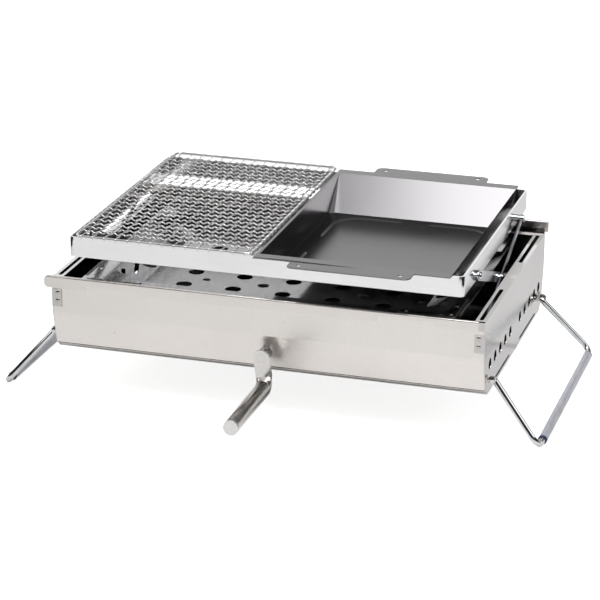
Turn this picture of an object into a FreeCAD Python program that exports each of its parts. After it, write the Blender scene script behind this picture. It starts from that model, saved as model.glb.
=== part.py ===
import FreeCAD, Part
import math
import os

# Folding-leg hibachi grill with a crank-raised cooking frame.
# Millimetres.  +X runs along the box to the right, +Y to the back, +Z up.
# The origin is the centre of the floor pan's underside.

# ---- driving dimensions ----
BOX_LENGTH = 600.0
BOX_DEPTH = 380.0
BOX_HEIGHT = 108.0
SHEET = 1.0

CREASE_Z = 57.0            # the front and rear walls lean inwards below this height
WALL_FOOT_Z = 10.0
WALL_FOOT_INSET = 11.5
PAN_LIP_INSET = 16.0       # floor pan: where its sloping lip meets the walls
PAN_FLAT_INSET = 24.0
PAN_LIP_GAP = 1.0          # shadow line between the walls' foot folds and the floor pan
WALL_FOOT_FOLD = 6.0
REAR_JOGGLE = 3.0
REAR_JOGGLE_Z = 104.0

RAIL_THICK = 5.0
RAIL_DROP = 17.0
RAIL_INNER_DROP = 11.0
FRONT_RAIL_TOP = 109.0
REAR_RAIL_TOP = 127.0
RAIL_OVERHANG = 11.0
RAIL_END_RADIUS = 6.0
RAIL_FOLD_RADIUS = 1.9
REAR_RAIL_OVERHANG = 4.0
CORNER_GAP = 9.0           # the rail stops this far short of the wrapped corner
RAIL_STEPS = ((-252.0, 6.5), (-175.0, 1.5), (155.0, 9.0), (229.0, 3.5))   # X of a step, new height
RAIL_STEP_SLOPE = 3.0      # half the run of the one sloping step

FLANGE_WIDTH = 15.0
FLANGE_SLOT_WIDTH = 5.5
FLANGE_SLOT_FROM_EDGE = 8.0
FLANGE_SLOT_SPAN = (57.0, 180.0)
VENT_RADIUS = 8.0
VENT_PITCH = 31.0
VENT_Z = 39.0
VENTS_PER_SIDE = 5
FOOT_SLOT_SPAN = (33.0, 136.0)
FOOT_SLOT_Z = 6.0
FOOT_SLOT_WIDTH = 4.5

TAB_WIDTH = 14.0
TAB_SPAN_Z = (66.0, 91.0)
RIVET_SHANK = 1.6
RIVET_HEAD = 3.2
TAB_RIVET_HEIGHTS = (75.0, 86.5)
TAB_RIVET_FROM_END = 8.5
TAB_RIVET_RISE = 1.4
TAB_RIVET_TAIL = 0.8
TOP_TAB_GAP = 0.5
TOP_TAB_LIFT = 5.5

TRAY_Z = 84.0
TRAY_HALF_FLAT = 197.0
TRAY_HALF_LENGTH = 262.0
TRAY_HALF_DEPTH = 165.0
TRAY_WING_RISE = 20.0
TRAY_FLANGE = 12.0         # the front and rear rims rise to the wing tips and fold outwards
TRAY_PITCH_X = 70.5
TRAY_PITCH_Y = 52.0
BIG_HOLE = 11.0
MEDIUM_HOLE = 8.0
SMALL_HOLE = 5.5
WING_SLOT_WIDTH = 6.0
WING_SLOTS = ((219.0, 80.0), (226.0, 114.0), (222.0, 10.0))
WING_SLOT_RUN = (-4.5, -14.0)  # from a slot's middle to its front end
SUPPORT_HEIGHT = 14.0
SUPPORT_SHELF = 40.0
SUPPORT_HALF_LENGTH = 187.0

GUSSET_SHEET = 1.2
GUSSET_OUTLINE = ((-256.0, -176.0), (-256.0, -100.0), (-232.0, -100.0), (-232.0, -131.0), (-177.0, -171.0),
                  (-179.0, -176.0))
GUSSET_CORNERS = (4.0, 0.0, 0.0, 0.0, 2.0, 2.0)
GUSSET_RIVETS = ((-249.0, -168.0), (-236.0, -170.0), (-249.0, -135.0), (-190.0, -171.0))
GUSSET_RIVET_HEAD = 2.6
GUSSET_RIVET_RISE = 1.1

FRAME_HALF_LENGTH = 271.5
FRAME_HALF_DEPTH = 195.5
FRAME_SHEET = 1.5
FRAME_BOTTOM = 142.0
FRAME_TOP = 169.5
FRAME_RADIUS = 7.0
FRAME_HEM = 3.0

RING_RADIUS = 2.0          # the ring lies on the frame's front and rear hems
GRATE_X = (-261.0, -15.0)
GRATE_Y = (-196.5, 209.5)
GRATE_CORNER = 8.0
WIRE_RADIUS = 1.0
MESH_PITCH = 16.4
ROWS = 23
COLUMNS = 15

PAN_SHEET = 1.5
PAN_X = (-5.0, 255.5)
PAN_LEFT_FLANGE = 4.0
PAN_FLANGE_HALF_DEPTH = 206.0
PAN_MOUTH_HALF_DEPTH = 189.0
PAN_FLOOR_HALF_DEPTH = 143.0
PAN_FLOOR_Z = 125.0
PAN_TAB_HALF_WIDTH = 83.0
PAN_TAB_REACH = 25.0
PAN_TAB_CORNER = 10.0
PAN_TAB_HOLE = 3.5
PAN_TAB_HOLE_FROM_END = 15.0

LEG_WIRE = 4.25
LEG_BEND = 12.0
LEG_STUB_BEND = 5.0
LEG_MIDDLE_Y = -6.0        # the legs sit a little forward of the box's middle
LEG_PIVOT = (306.0, 23.4)
LEG_FOOT = (375.0, -56.0)
LEG_PIVOT_HALF = 156.0
LEG_STUB_HALF = 167.0
LEG_FOOT_HALF = 182.0
SLEEVE_RADIUS = 6.25
SLEEVE_Y = (-163.0, 158.0)
LUG_EAR_HALF = 163.5
LUG_HALF_HEIGHT = 5.8
LUG_PLATE = 1.0
LUG_LENGTH = 8.0
LEG_END_RISE = 1.5
RUNNING_GAP = 0.05

LIFT_HALF_SPAN = 126.0
LIFT_BASE_Z = 60.0
LIFT_PIN_Z = 149.0
SHAFT_RADIUS = 5.0
PIN_RADIUS = 3.0
INNER_ARM_X = (274.0, 276.0)
OUTER_ARM_X = (277.5, 279.5)
INNER_ARM_HALF_WIDTH = 7.0
OUTER_ARM_HALF_WIDTH = 6.0
OUTER_STRIP_HALF_WIDTH = 3.2    # between its eyes the outer arm is a narrow strip
PIN_HEAD = 5.0
PIN_SHOULDER = 5.5
BOLT_HEAD = 6.0
BOLT_COLLAR = 4.0
BOLT_DOME_RISE = 3.5
SLIDE_TRAVEL = (-6.0, 15.0)    # front pins, measured rearwards from rest
SHAFT_END_GAP = 8.0
BRACKET_SHEET = 1.5
BRACKET_HALF_HEIGHT = 11.0
BRACKET_MARGIN = 5.0
BRACKET_FACE = 285.0
BUSHING_FACE = 284.0
BUSHING_RADIUS = 8.0
BUSHING_FLANGE_HALF = 15.0

SCREW_X = 2.0              # the crank stands a little right of the middle
SCREW_Z = 31.0
SCREW_RADIUS = 4.0
SCREW_COLLAR = 7.0
SCREW_REAR_END = -78.0
SQUARE_SHAFT = 10.0
SHAFT_HOLE = 9.0
COLLAR_LENGTH = 4.0
COLLAR_Y = -163.8          # the collar's front face, just behind the front bearing
FRONT_BEARING_BACK = -164.0
REAR_BEARING_Y = (-88.0, -84.0)
BEARING_HALF_WIDTH = 13.0
BEARING_HALF_HEIGHT = 12.0
BEARING_FOOT = 24.0
BEARING_FOOT_THICK = 3.0
SQUARE_LENGTH = 18.0
NUT_HALF_WIDTH = 12.0
NUT_HALF_DEPTH = 9.0
NUT_MARGINS = (11.0, 10.0)     # below the screw and above the shaft
CRANK_PLATE_Y = (-207.0, -203.0)
CRANK_HALF_WIDTH = 11.0
CRANK_THROW = 40.0
CRANK_BEND = 11.0
CRANK_HANG_DEG = 8.5           # the arm hangs a little to the right of straight down
CRANK_TUBE_RADIUS = 10.5
CRANK_TUBE_WALL = 1.5
CRANK_BAR_LENGTH = 146.0
CRANK_BAR_LEAN = (0.5, -0.5)   # how far the grip end leans right and down
CRANK_CAP_THICK = 3.0
CRANK_PLUG_LENGTH = 8.0
CRANK_FLAT_LENGTH = 27.0       # from the screw's axis down to where the tube opens out

# ---- derived ----
HALF_LENGTH = BOX_LENGTH / 2
HALF_DEPTH = BOX_DEPTH / 2
INNER_LENGTH = HALF_LENGTH - SHEET
V = FreeCAD.Vector
AXES = {"x": V(1, 0, 0), "y": V(0, 1, 0), "z": V(0, 0, 1)}


# ---- shape helpers ----
def box(x0, x1, y0, y1, z0, z1):
    return Part.makeBox(x1 - x0, y1 - y0, z1 - z0, V(x0, y0, z0))


def rod(radius, start, end):
    """A round bar between two points."""
    along = V(*end) - V(*start)
    return Part.makeCylinder(radius, along.Length, V(*start), along)


def place(axis, level, a, b):
    """A point at one level of an axis, a and b along the other two axes in X, Y, Z order."""
    if axis == "x":
        return V(level, a, b)
    if axis == "y":
        return V(a, level, b)
    return V(a, b, level)


def plate(outline, axis, low, high):
    """A flat piece: a closed outline extruded along an axis."""
    points = [place(axis, low, a, b) for a, b in outline]
    face = Part.Face(Part.makePolygon(points + points[:1]))
    return face.extrude(AXES[axis] * (high - low))


def rounded_plate(outline, radii, axis, low, high):
    """Like plate, with each corner rounded by its own radius."""
    count = len(outline)
    arcs = []
    for i, radius in enumerate(radii):
        corner = V(*outline[i], 0)
        before = V(*outline[i - 1], 0) - corner
        after = V(*outline[(i + 1) % count], 0) - corner
        before.normalize()
        after.normalize()
        half = before.getAngle(after) / 2
        bisector = before + after
        if radius:
            bisector.normalize()
        arcs.append((
            corner + before * (radius / math.tan(half)),
            corner + bisector * (radius / math.sin(half) - radius),
            corner + after * (radius / math.tan(half)),
        ))
    edges = []
    for i, arc in enumerate(arcs):
        start, middle, end = [place(axis, low, p.x, p.y) for p in arc]
        following = place(axis, low, arcs[(i + 1) % count][0].x, arcs[(i + 1) % count][0].y)
        if radii[i]:
            edges.append(Part.Arc(start, middle, end).toShape())
        if (following - end).Length > 1e-6:
            edges.append(Part.makeLine(end, following))
    return Part.Face(Part.Wire(edges)).extrude(AXES[axis] * (high - low))


def rectangle(a0, a1, b0, b1):
    return [(a0, b0), (a1, b0), (a1, b1), (a0, b1)]


def slot(axis, low, high, a, b, half_run, half_width):
    """A round-ended slot cutter: centre a, b, running along the first free axis."""
    outline = rectangle(a - half_run, a + half_run, b - half_width, b + half_width)
    return rounded_plate(outline, [half_width] * 4, axis, low, high)


def bent_sheet(outer, thickness, x0, x1, side):
    """A bent sheet along X.  outer holds Y, Z points; side is +1 when the sheet's thickness
    lies to the right of the path and -1 when it lies to the left."""
    normals = []
    for (y0, z0), (y1, z1) in zip(outer, outer[1:]):
        length = math.hypot(y1 - y0, z1 - z0)
        normals.append(V(0, side * (z1 - z0) / length, -side * (y1 - y0) / length))
    inner = []
    for i, (y, z) in enumerate(outer):
        first = normals[max(i - 1, 0)]
        second = normals[min(i, len(normals) - 1)]
        mitre = first + second
        mitre.normalize()
        reach = thickness / mitre.dot(first)
        inner.append((y + mitre.y * reach, z + mitre.z * reach))
    return plate(outer + inner[::-1], "x", x0, x1)


def bent_rod(points, radius, bend):
    """A round wire through the points; bend is the corners' bend radius, or one radius each."""
    corners = [V(*p) for p in points]
    bends = bend if isinstance(bend, list) else [bend] * (len(points) - 2)
    edges = []
    start = corners[0]
    for before, corner, after, radius_of_bend in zip(corners, corners[1:], corners[2:], bends):
        back = before - corner
        ahead = after - corner
        back.normalize()
        ahead.normalize()
        half = back.getAngle(ahead) / 2
        reach = radius_of_bend / math.tan(half)
        bisector = back + ahead
        bisector.normalize()
        bend_in = corner + back * reach
        bend_out = corner + ahead * reach
        middle = corner + bisector * (radius_of_bend / math.sin(half) - radius_of_bend)
        edges.append(Part.makeLine(start, bend_in))
        edges.append(Part.Arc(bend_in, middle, bend_out).toShape())
        start = bend_out
    edges.append(Part.makeLine(start, corners[-1]))
    along = corners[1] - corners[0]
    profile = Part.Wire(Part.makeCircle(radius, corners[0], along))
    return Part.Wire(edges).makePipeShell([profile], True, True)


def cut(shape, tools):
    return shape.cut(Part.Compound(tools)) if tools else shape


def fuse(first, *others):
    return first.fuse(list(others)).removeSplitter()


def mirror_x(shape):
    return shape.mirror(V(0, 0, 0), AXES["x"])


def mirror_y(shape):
    return shape.mirror(V(0, 0, 0), AXES["y"])


def both_ends(shape):
    return [shape, mirror_x(shape)]


def four_corners(shape):
    pair = both_ends(shape)
    return pair + [mirror_y(s) for s in pair]


def turned(profile, axis_start, direction):
    """A body of revolution.  profile holds (distance along the axis, radius) steps."""
    solids = []
    for (a, radius), (b, _) in zip(profile, profile[1:]):
        start = V(*axis_start) + direction * a
        solids.append(Part.makeCylinder(radius, b - a, start, direction))
    return fuse(*solids)


def domed_head(radius, height, centre, direction):
    """A low domed rivet or bolt head standing on a face."""
    sphere_radius = (radius * radius + height * height) / (2 * height)
    middle = V(*centre) - direction * (sphere_radius - height)
    ball = Part.makeSphere(sphere_radius, middle)
    return ball.common(Part.makeCylinder(radius * 1.2, height * 1.2, V(*centre), direction))


def export(name, solids):
    shapes = solids if isinstance(solids, list) else [solids]
    bodies = [solid for shape in shapes for solid in shape.Solids]
    shape = bodies[0] if len(bodies) == 1 else Part.Compound(bodies)
    shape.exportStep(f"parts/{name}.step")


# ---- fire box ----
def wall_inset(z):
    """How far a leaning wall's outer face stands in from the vertical at height z."""
    if z >= CREASE_Z:
        return 0.0
    return WALL_FOOT_INSET * (CREASE_Z - z) / (CREASE_Z - WALL_FOOT_Z)


def end_outline(notch):
    """Outline of an end panel in Y and Z; the notch lets the overhanging rail pass."""
    top = BOX_HEIGHT
    foot = HALF_DEPTH - WALL_FOOT_INSET
    flat = HALF_DEPTH - PAN_FLAT_INSET
    front = [(-flat, 0), (-foot, WALL_FOOT_Z), (-HALF_DEPTH, CREASE_Z)]
    if notch:
        rail_foot = FRONT_RAIL_TOP - RAIL_DROP - 0.5
        rail_back = -HALF_DEPTH + RAIL_THICK - SHEET + 0.3
        front += [(-HALF_DEPTH, rail_foot), (rail_back, rail_foot), (rail_back, top)]
    else:
        front += [(-HALF_DEPTH, top)]
    back = [(HALF_DEPTH, top), (HALF_DEPTH, CREASE_Z), (foot, WALL_FOOT_Z), (flat, 0)]
    return front + back


def make_end_panel(notch):
    """The right-hand end panel."""
    panel = plate(end_outline(notch), "x", INNER_LENGTH, HALF_LENGTH)
    flange_half = HALF_DEPTH - RAIL_THICK
    flange = box(HALF_LENGTH - FLANGE_WIDTH, HALF_LENGTH, -flange_half, flange_half,
                 BOX_HEIGHT - SHEET, BOX_HEIGHT)
    tab = box(HALF_LENGTH - TAB_WIDTH, HALF_LENGTH, -HALF_DEPTH - SHEET, -HALF_DEPTH, *TAB_SPAN_Z)
    tabs = [tab, mirror_y(tab)]
    if not notch:
        top_tab = box(HALF_LENGTH - CORNER_GAP + TOP_TAB_GAP, HALF_LENGTH, -HALF_DEPTH - SHEET, -HALF_DEPTH,
                      TAB_SPAN_Z[1] + TOP_TAB_LIFT, BOX_HEIGHT)
        tabs.append(top_tab)
    panel = fuse(panel, flange, *tabs)
    cutters = []
    outside = HALF_LENGTH + 1
    inside = INNER_LENGTH - 1
    for side in (-1, 1):
        for i in range(VENTS_PER_SIDE):
            y = side * VENT_PITCH * (i + 1)
            cutters.append(rod(VENT_RADIUS, (inside, y, VENT_Z), (outside, y, VENT_Z)))
        foot_middle = side * sum(FOOT_SLOT_SPAN) / 2
        foot_half = (FOOT_SLOT_SPAN[1] - FOOT_SLOT_SPAN[0]) / 2
        cutters.append(slot("x", inside, outside, foot_middle, FOOT_SLOT_Z, foot_half, FOOT_SLOT_WIDTH / 2))
        top_middle = side * sum(FLANGE_SLOT_SPAN) / 2
        top_half = (FLANGE_SLOT_SPAN[1] - FLANGE_SLOT_SPAN[0]) / 2
        x = HALF_LENGTH - FLANGE_SLOT_FROM_EDGE
        half_width = FLANGE_SLOT_WIDTH / 2
        outline = rectangle(x - half_width, x + half_width, top_middle - top_half, top_middle + top_half)
        cutters.append(rounded_plate(outline, [half_width * 0.9] * 4, "z", BOX_HEIGHT - 3, BOX_HEIGHT + 1))
        for z in TAB_RIVET_HEIGHTS:
            x = HALF_LENGTH - TAB_RIVET_FROM_END
            start = (x, side * (HALF_DEPTH - 3), z)
            cutters.append(rod(RIVET_SHANK, start, (x, side * (HALF_DEPTH + 3), z)))
    return cut(panel, cutters)


def rivet_holes():
    holes = []
    for z in TAB_RIVET_HEIGHTS:
        x = HALF_LENGTH - TAB_RIVET_FROM_END
        holes.append(rod(RIVET_SHANK, (x, -HALF_DEPTH - 3, z), (x, -HALF_DEPTH + 3, z)))
    return [h for hole in holes for h in both_ends(hole)]


def make_walls():
    """Front and rear panels, each one folded sheet."""
    foot = HALF_DEPTH - WALL_FOOT_INSET
    lip = HALF_DEPTH - PAN_LIP_INSET - WALL_FOOT_FOLD
    lower = [(-lip, WALL_FOOT_Z), (-foot, WALL_FOOT_Z), (-HALF_DEPTH, CREASE_Z)]
    front = lower + [(-HALF_DEPTH, FRONT_RAIL_TOP - 2 * SHEET)]
    joggled = -HALF_DEPTH - REAR_JOGGLE
    rear = lower + [(-HALF_DEPTH, REAR_JOGGLE_Z), (joggled, REAR_JOGGLE_Z + REAR_JOGGLE),
                    (joggled, REAR_RAIL_TOP - 2 * SHEET)]
    front_panel = bent_sheet(front, SHEET, -INNER_LENGTH, INNER_LENGTH, 1)
    shaft_hole = rod(SHAFT_HOLE, (SCREW_X, -HALF_DEPTH - 5, SCREW_Z), (SCREW_X, -HALF_DEPTH + 30, SCREW_Z))
    front_panel = cut(front_panel, rivet_holes() + [shaft_hole])
    rear_panel = cut(bent_sheet(rear, SHEET, -INNER_LENGTH, INNER_LENGTH, 1), rivet_holes())
    return front_panel, mirror_y(rear_panel)


def make_rail(top, face_y):
    """A folded rail hugging the top edge of a wall whose outer face is at face_y, built as a
    front rail: an outer leaf, a rounded top and a shorter inner leaf."""
    outer = face_y - SHEET
    inner = outer + RAIL_THICK
    left = -HALF_LENGTH - RAIL_OVERHANG
    outside = rectangle(outer, inner, top - RAIL_DROP, top)
    inside = rectangle(outer + SHEET, inner - SHEET, top - RAIL_DROP - 1, top - SHEET)
    fold = RAIL_FOLD_RADIUS
    section = rounded_plate(outside, [0, 0, fold, fold], "x", left, HALF_LENGTH)
    hollow = rounded_plate(inside, [0, 0, fold - SHEET, fold - SHEET], "x", left, HALF_LENGTH)
    short_leaf = box(left, HALF_LENGTH, inner - SHEET - 0.5, inner + 0.5,
                     top - RAIL_DROP - 1, top - RAIL_INNER_DROP)
    return cut(section, [hollow, short_leaf])


def front_rail_outline():
    """The front rail seen from the front, with its stepped lower edge."""
    top = FRONT_RAIL_TOP
    left = -HALF_LENGTH - RAIL_OVERHANG
    right = HALF_LENGTH - CORNER_GAP
    low = top - RAIL_DROP
    outline = [(left, top + 1), (left, low)]
    height = 0
    for x, new_height in RAIL_STEPS:
        slope = RAIL_STEP_SLOPE if new_height < height and x < 0 else 0
        outline += [(x - slope, low + height), (x + slope, low + new_height)]
        height = new_height
    return outline + [(right, low + height), (right, top + 1)]


def make_rails():
    front = make_rail(FRONT_RAIL_TOP, -HALF_DEPTH)
    outline = front_rail_outline()
    end_cut = [0, RAIL_END_RADIUS] + [0] * (len(outline) - 2)
    y0, y1 = -HALF_DEPTH - 2 * RAIL_THICK, -HALF_DEPTH + 2 * RAIL_THICK
    front = front.common(rounded_plate(outline, end_cut, "y", y0, y1))
    left = -HALF_LENGTH - RAIL_OVERHANG
    centre_x, centre_z = left + RAIL_END_RADIUS, FRONT_RAIL_TOP - RAIL_END_RADIUS
    top_corner = box(left - 1, centre_x, y0, y1, centre_z, FRONT_RAIL_TOP + 1)
    round_end = rod(RAIL_END_RADIUS, (centre_x, y0 - 1, centre_z), (centre_x, y1 + 1, centre_z))
    front = front.cut(top_corner.cut(round_end))
    rear = make_rail(REAR_RAIL_TOP, -HALF_DEPTH - REAR_JOGGLE)
    rear = rear.common(box(-HALF_LENGTH - REAR_RAIL_OVERHANG, HALF_LENGTH, y0, y1,
                           BOX_HEIGHT + 1, REAR_RAIL_TOP + 1))
    return front, mirror_x(mirror_y(rear))


def make_floor_pan():
    lip = HALF_DEPTH - PAN_LIP_INSET
    edge = HALF_DEPTH - WALL_FOOT_INSET - 0.5
    flat = HALF_DEPTH - PAN_FLAT_INSET
    lip_z = WALL_FOOT_Z - SHEET - PAN_LIP_GAP
    outer = [(-edge, lip_z), (-lip, lip_z), (-flat, 0), (flat, 0), (lip, lip_z), (edge, lip_z)]
    return bent_sheet(outer, SHEET, -INNER_LENGTH, INNER_LENGTH, -1)


def make_corner_rivets():
    """Domed rivets through the wrapped tabs, two at each corner."""
    rivets = []
    for z in TAB_RIVET_HEIGHTS:
        x = HALF_LENGTH - TAB_RIVET_FROM_END
        face = -HALF_DEPTH - SHEET
        shank = rod(RIVET_SHANK, (x, face, z), (x, face + 2 * SHEET, z))
        head = domed_head(RIVET_HEAD, TAB_RIVET_RISE, (x, face, z), V(0, -1, 0))
        back = face + 2 * SHEET
        tail = rod(RIVET_SHANK + TAB_RIVET_TAIL, (x, back, z), (x, back + TAB_RIVET_TAIL, z))
        rivets += four_corners(fuse(shank, head, tail))
    return rivets


# ---- charcoal tray ----
def tray_holes():
    """Staggered rows of large holes with smaller ones between them."""
    holes = []
    for row in range(-2, 3):
        y = row * TRAY_PITCH_Y
        reach = 3 if abs(row) == 1 else 2
        for column in range(-reach, reach + 1):
            holes.append((BIG_HOLE, column * TRAY_PITCH_X, y))
        if row < 2:
            between = y + TRAY_PITCH_Y / 2
            for column in (-0.5, 1.5):
                holes.append((MEDIUM_HOLE, column * TRAY_PITCH_X, between))
            for column in (-1.66, 2.66):
                holes.append((SMALL_HOLE, column * TRAY_PITCH_X, between))
    return holes


def wing_z(x):
    """Height of the tray's underside at x, flat in the middle and rising in the wings."""
    run = TRAY_HALF_LENGTH - TRAY_HALF_FLAT
    return TRAY_Z + TRAY_WING_RISE * max(0, abs(x) - TRAY_HALF_FLAT) / run


def wing_slot(x, y):
    """Cutter for one slanted, round-ended slot in the front right wing."""
    run_x, run_y = WING_SLOT_RUN
    radius = WING_SLOT_WIDTH / 2
    length = math.hypot(run_x, run_y)
    across = (-run_y / length * radius, run_x / length * radius)
    (ax, ay), (bx, by) = (x - run_x, -y - run_y), (x + run_x, -y + run_y)
    outline = [(ax + across[0], ay + across[1]), (ax - across[0], ay - across[1]),
               (bx - across[0], by - across[1]), (bx + across[0], by + across[1])]
    top = TRAY_Z + TRAY_WING_RISE + 5
    rounds = [rod(radius, (*end, TRAY_Z), (*end, top)) for end in ((ax, ay), (bx, by))]
    return fuse(plate(outline, "z", TRAY_Z, top), *rounds)


def make_tray():
    """Deck with rising wings, and front and rear rims folded outwards into level flanges."""
    ends = TRAY_HALF_LENGTH
    flat = TRAY_HALF_FLAT
    deep = TRAY_HALF_DEPTH
    outline = [(-ends, wing_z(ends)), (-flat, TRAY_Z), (flat, TRAY_Z), (ends, wing_z(ends))]
    upper = [(x, z + SHEET) for x, z in outline]
    deck = plate(outline + upper[::-1], "y", -deep, deep)
    above = TRAY_Z + TRAY_WING_RISE
    rim_outline = outline + [(ends, above + SHEET), (-ends, above + SHEET)]
    rim = plate(rim_outline, "y", -deep, -deep + SHEET)
    flange = box(-ends, ends, -deep - TRAY_FLANGE, -deep + SHEET, above, above + SHEET)
    cutters = [rod(r, (x, y, TRAY_Z - 2), (x, y, above)) for r, x, y in tray_holes()]
    for x, y in WING_SLOTS:
        cutters += four_corners(wing_slot(x, y))
    return cut(fuse(deck, rim, flange, mirror_y(rim), mirror_y(flange)), cutters)


def make_gussets():
    """Level corner plates lying on the tray's flanges and wing tips, each with rivet heads."""
    base = TRAY_Z + TRAY_WING_RISE + SHEET
    top = base + GUSSET_SHEET
    gusset = rounded_plate(GUSSET_OUTLINE, GUSSET_CORNERS, "z", base, top)
    heads = [domed_head(GUSSET_RIVET_HEAD, GUSSET_RIVET_RISE, (x, y, top), V(0, 0, 1))
             for x, y in GUSSET_RIVETS]
    return four_corners(gusset), [piece for head in heads for piece in four_corners(head)]


def make_tray_supports():
    """Angle strips inside the front and rear walls that carry the tray."""
    wall = -HALF_DEPTH + SHEET
    shelf = wall + SUPPORT_SHELF - SHEET
    low, high = TRAY_Z - SUPPORT_HEIGHT, TRAY_Z
    angle = [(wall, high), (wall, low), (wall + SHEET, low), (wall + SHEET, high - SHEET),
             (shelf, high - SHEET), (shelf, high)]
    strip = plate(angle, "x", -SUPPORT_HALF_LENGTH, SUPPORT_HALF_LENGTH)
    return [strip, mirror_y(strip)]


# ---- cooking frame ----
def frame_band(inset, z0, z1, radius):
    half_x = FRAME_HALF_LENGTH - inset
    half_y = FRAME_HALF_DEPTH - inset
    return rounded_plate(rectangle(-half_x, half_x, -half_y, half_y), [radius] * 4, "z", z0, z1)


def make_frame():
    """Open rectangular band with a thickened hem along its top edge."""
    band = frame_band(0, FRAME_BOTTOM, FRAME_TOP, FRAME_RADIUS)
    lower_hollow = frame_band(FRAME_SHEET, FRAME_BOTTOM - 1, FRAME_TOP - FRAME_HEM,
                              FRAME_RADIUS - FRAME_SHEET)
    upper_hollow = frame_band(FRAME_HEM, FRAME_BOTTOM - 1, FRAME_TOP + 1, FRAME_RADIUS - FRAME_HEM)
    cutters = [lower_hollow, upper_hollow]
    inside = FRAME_HALF_LENGTH - 6
    outside = FRAME_HALF_LENGTH + 2
    middle = -LIFT_HALF_SPAN + sum(SLIDE_TRAVEL) / 2
    half_run = (SLIDE_TRAVEL[1] - SLIDE_TRAVEL[0]) / 2 + PIN_RADIUS
    slide = slot("x", inside, outside, middle, LIFT_PIN_Z, half_run, PIN_RADIUS + 2 * RUNNING_GAP)
    pin_hole = rod(PIN_RADIUS, (inside, LIFT_HALF_SPAN, LIFT_PIN_Z), (outside, LIFT_HALF_SPAN, LIFT_PIN_Z))
    for tool in (slide, pin_hole):
        cutters += both_ends(tool)
    return cut(band, cutters)


def make_rear_frame_pins():
    """Shouldered pins, riveted into the frame, on which the outer arms hang."""
    wall = FRAME_HALF_LENGTH
    head = 2.0
    base = wall - FRAME_SHEET - head
    arm_near, arm_far = OUTER_ARM_X[0] - 2 * RUNNING_GAP - base, OUTER_ARM_X[1] + 4 * RUNNING_GAP - base
    steps = [(0, PIN_SHOULDER), (head, PIN_RADIUS), (head + FRAME_SHEET, PIN_HEAD), (arm_near, PIN_RADIUS),
             (arm_far, PIN_SHOULDER), (arm_far + head, PIN_SHOULDER)]
    return both_ends(turned(steps, (base, LIFT_HALF_SPAN, LIFT_PIN_Z), V(1, 0, 0)))


# ---- lift ----
def arm(x0, x1, half_width, strip_half_width, start, end, holes):
    """A flat link with a round eye about each hole; holes lists (Y, Z, radius)."""
    along = V(0, end[0] - start[0], end[1] - start[1])
    along.normalize()
    across = V(0, -along.z, along.y) * strip_half_width
    corners = [(start[0] + across.y, start[1] + across.z), (start[0] - across.y, start[1] - across.z),
               (end[0] - across.y, end[1] - across.z), (end[0] + across.y, end[1] + across.z)]
    eyes = [rod(half_width, (x0, y, z), (x1, y, z)) for y, z, r in holes]
    link = fuse(plate(corners, "x", x0, x1), *eyes)
    return cut(link, [rod(r, (x0 - 1, y, z), (x1 + 1, y, z)) for y, z, r in holes])


def make_lift():
    """Crossed arm pairs at both ends of the box, with the shafts that tie them together."""
    rear_low = (LIFT_HALF_SPAN, LIFT_BASE_Z)
    rear_high = (LIFT_HALF_SPAN, LIFT_PIN_Z)
    front_low = (-LIFT_HALF_SPAN, LIFT_BASE_Z)
    front_high = (-LIFT_HALF_SPAN, LIFT_PIN_Z)
    middle = (0, (LIFT_BASE_Z + LIFT_PIN_Z) / 2)
    inner = arm(*INNER_ARM_X, INNER_ARM_HALF_WIDTH, INNER_ARM_HALF_WIDTH, rear_low, front_high,
                [(*rear_low, SHAFT_RADIUS), (*middle, PIN_RADIUS + RUNNING_GAP), (*front_high, PIN_RADIUS)])
    outer = arm(*OUTER_ARM_X, OUTER_ARM_HALF_WIDTH, OUTER_STRIP_HALF_WIDTH, front_low, rear_high,
                [(*front_low, SHAFT_RADIUS), (*middle, PIN_RADIUS), (*rear_high, PIN_RADIUS + RUNNING_GAP)])
    shaft_end = INNER_LENGTH - SHAFT_END_GAP
    rear_shaft = rod(SHAFT_RADIUS, (-shaft_end, *rear_low), (shaft_end, *rear_low))
    front_shaft = rod(SHAFT_RADIUS, (-shaft_end, *front_low), (shaft_end, *front_low))
    inner_head, outer_head, gap = 1.3, 1.8, 0.3
    base = INNER_ARM_X[0] - inner_head - gap
    arm_far = OUTER_ARM_X[1] - base
    steps = [(0, PIN_HEAD), (inner_head, PIN_RADIUS), (arm_far, PIN_HEAD), (arm_far + outer_head, PIN_HEAD)]
    middle_pin = turned(steps, (base, *middle), V(1, 0, 0))
    inner_head, collar = 2.0, 1.0
    base = FRAME_HALF_LENGTH - FRAME_SHEET - inner_head - gap
    arm_far = INNER_ARM_X[1] - base
    steps = [(0, BOLT_HEAD), (inner_head, PIN_RADIUS), (arm_far, BOLT_COLLAR),
             (arm_far + collar, BOLT_COLLAR)]
    bolt = turned(steps, (base, *front_high), V(1, 0, 0))
    dome = domed_head(BOLT_HEAD, BOLT_DOME_RISE, (INNER_ARM_X[1] + collar, *front_high), V(1, 0, 0))
    bolt = fuse(bolt, dome)
    return {
        "inner_arm_right": inner,
        "inner_arm_left": mirror_x(inner),
        "outer_arm_right": outer,
        "outer_arm_left": mirror_x(outer),
        "rear_cross_shaft": rear_shaft,
        "front_cross_shaft": front_shaft,
        "middle_pins": both_ends(middle_pin),
        "slide_bolts": both_ends(bolt),
    }


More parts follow.
